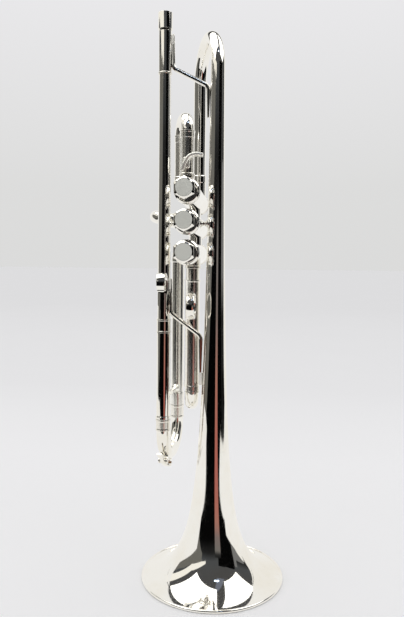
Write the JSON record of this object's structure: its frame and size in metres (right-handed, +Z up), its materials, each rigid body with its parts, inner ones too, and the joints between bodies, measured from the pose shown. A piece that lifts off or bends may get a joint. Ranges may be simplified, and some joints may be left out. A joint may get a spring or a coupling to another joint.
{
  "type": "trumpet",
  "caption": "Silver-plated B-flat trumpet without mouthpiece: leadpipe, piston valves, flared bell and sliding tuning and valve slides.",
  "frame": {"origin": "middle of the bounding box's foot, in the plane of the bell's rim", "axes": "+Z up along the tubing from the bell's rim to the mouthpiece receiver, +X from the leadpipe towards the bell, +Y from the finger buttons towards the bottom caps"},
  "size_m": [0.1234, 0.1574, 0.4793],
  "materials": {
    "silver_plate": "bright silver plate over brass, mirror polish",
    "nickel_silver": "nickel silver, smooth drawn",
    "spring_steel": "spring wire",
    "felt": "pressed felt",
    "cork": "natural cork"
  },
  "bodies": {
    "horn": {"mouthpiece_receiver": "silver_plate", "leadpipe": "silver_plate", "leadpipe_ferrule": "silver_plate", "pinky_hook": "silver_plate", "bell": "silver_plate", "bell_bow": "silver_plate", "bell_tail": "silver_plate", "bell_tail_ferrule": "silver_plate", "brace_top": "silver_plate", "brace_bottom": "silver_plate", "valve_casing_1": "silver_plate", "top_cap_1": "silver_plate", "bottom_cap_1": "silver_plate", "valve_spring_1": "spring_steel", "valve_casing_2": "silver_plate", "top_cap_2": "silver_plate", "bottom_cap_2": "silver_plate", "valve_spring_2": "spring_steel", "valve_casing_3": "silver_plate", "top_cap_3": "silver_plate", "bottom_cap_3": "silver_plate", "valve_spring_3": "spring_steel", "casing_link_1": "silver_plate", "casing_link_2": "silver_plate", "casing_brace_leadpipe": "silver_plate", "casing_brace_bell": "silver_plate", "tuning_outer_near": "silver_plate", "tuning_outer_far": "silver_plate", "tuning_outer_brace": "silver_plate", "first_stub_near": "nickel_silver", "first_stub_far": "nickel_silver", "second_outer_near": "silver_plate", "second_outer_far": "silver_plate", "third_stub_near": "nickel_silver", "third_stub_far": "nickel_silver"},
    "valve_1": {"piston_1": "nickel_silver", "valve_stem_1": "nickel_silver", "stem_felt_1": "felt", "finger_button_1": "silver_plate"},
    "valve_2": {"piston_2": "nickel_silver", "valve_stem_2": "nickel_silver", "stem_felt_2": "felt", "finger_button_2": "silver_plate"},
    "valve_3": {"piston_3": "nickel_silver", "valve_stem_3": "nickel_silver", "stem_felt_3": "felt", "finger_button_3": "silver_plate"},
    "tuning_slide": {"tuning_bow": "silver_plate", "tuning_inner_near": "nickel_silver", "tuning_inner_far": "nickel_silver", "water_key_saddle": "silver_plate", "water_key_nipple": "silver_plate"},
    "water_key": {"water_key_lever": "silver_plate", "water_key_cork": "cork"},
    "first_valve_slide": {"first_slide": "silver_plate", "thumb_hook": "silver_plate"},
    "second_valve_slide": {"second_slide": "silver_plate"},
    "third_valve_slide": {"third_slide": "silver_plate", "finger_ring": "silver_plate"}
  },
  "joints": [
    {"name": "valve_1_press", "type": "slide", "parent": "horn", "child": "valve_1", "axis": [0, 1, 0], "range_m": [0, 0.015], "stiffness_N_per_m": 120, "springref_m": -0.012, "deforming": ["valve_spring_1"]},
    {"name": "valve_2_press", "type": "slide", "parent": "horn", "child": "valve_2", "axis": [0, 1, 0], "range_m": [0, 0.015], "stiffness_N_per_m": 120, "springref_m": -0.012, "deforming": ["valve_spring_2"]},
    {"name": "valve_3_press", "type": "slide", "parent": "horn", "child": "valve_3", "axis": [0, 1, 0], "range_m": [0, 0.015], "stiffness_N_per_m": 120, "springref_m": -0.012, "deforming": ["valve_spring_3"]},
    {"name": "tuning_slide_draw", "type": "slide", "parent": "horn", "child": "tuning_slide", "axis": [0, 0, -1], "range_m": [0, 0.045]},
    {"name": "first_slide_draw", "type": "slide", "parent": "horn", "child": "first_valve_slide", "axis": [0, 0, 1], "range_m": [0, 0.025]},
    {"name": "second_slide_draw", "type": "slide", "parent": "horn", "child": "second_valve_slide", "axis": [-0.9744, 0, 0.225], "range_m": [0, 0.009]},
    {"name": "third_slide_draw", "type": "slide", "parent": "horn", "child": "third_valve_slide", "axis": [0, 0, -1], "range_m": [-0.009, 0.0055]},
    {"name": "water_key_open", "type": "hinge", "parent": "tuning_slide", "child": "water_key", "pos_m": [-0.04396, -0.01589, 0.10027], "axis": [-0.9907, 0.1362, 0], "range_deg": [0, 15], "stiffness_Nm_per_rad": 0.04, "springref_deg": -22.92}
  ]
}
